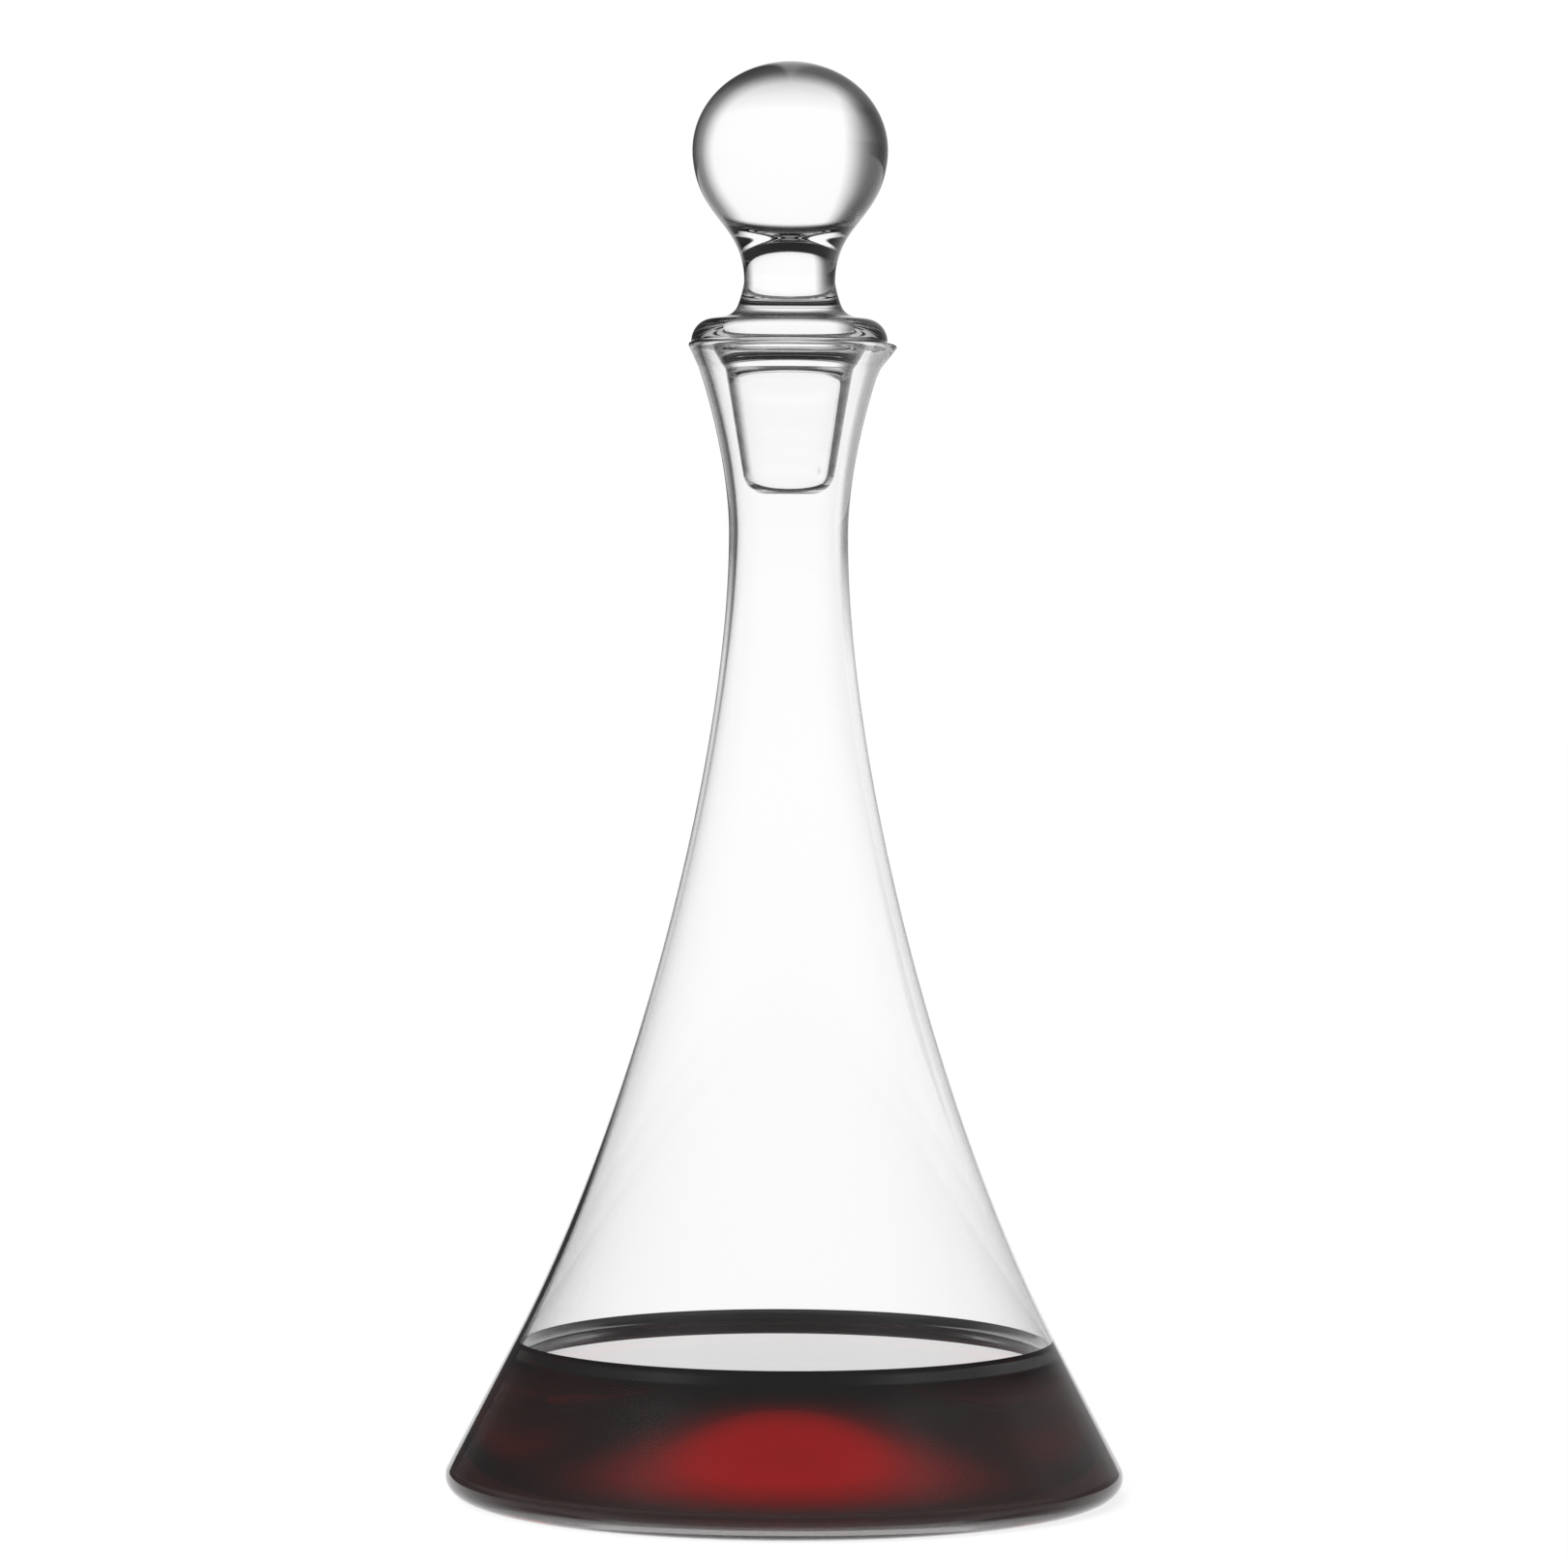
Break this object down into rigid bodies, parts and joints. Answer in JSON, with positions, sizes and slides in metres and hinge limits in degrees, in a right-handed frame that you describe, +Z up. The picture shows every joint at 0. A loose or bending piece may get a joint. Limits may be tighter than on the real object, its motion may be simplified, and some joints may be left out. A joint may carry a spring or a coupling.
{
  "type": "wine decanter",
  "caption": "Clear glass wine decanter with a flared conical body, slim neck, pouring lip and a lift-out solid ball stopper, part filled with red wine.",
  "frame": {"origin": "centre of the foot ring, on the plane that the decanter stands on", "axes": "+Z up along the axis of the vessel and stopper, +X towards the pouring lip, +Y away from the viewer of the picture"},
  "size_m": [0.1588, 0.1588, 0.3352],
  "materials": {
    "decanter_glass": "clear blown glass, fire-polished",
    "stopper_glass": "clear solid glass, fire-polished",
    "wine": "clear deep red liquid with a still surface"
  },
  "bodies": {
    "decanter": {"decanter_body": "decanter_glass", "wine": "wine"},
    "stopper": {"stopper": "stopper_glass"}
  },
  "joints": [
    {"name": "stopper_lift", "type": "slide", "parent": "decanter", "child": "stopper", "axis": [0, 0, 1], "range_m": [0, 0.08]}
  ]
}
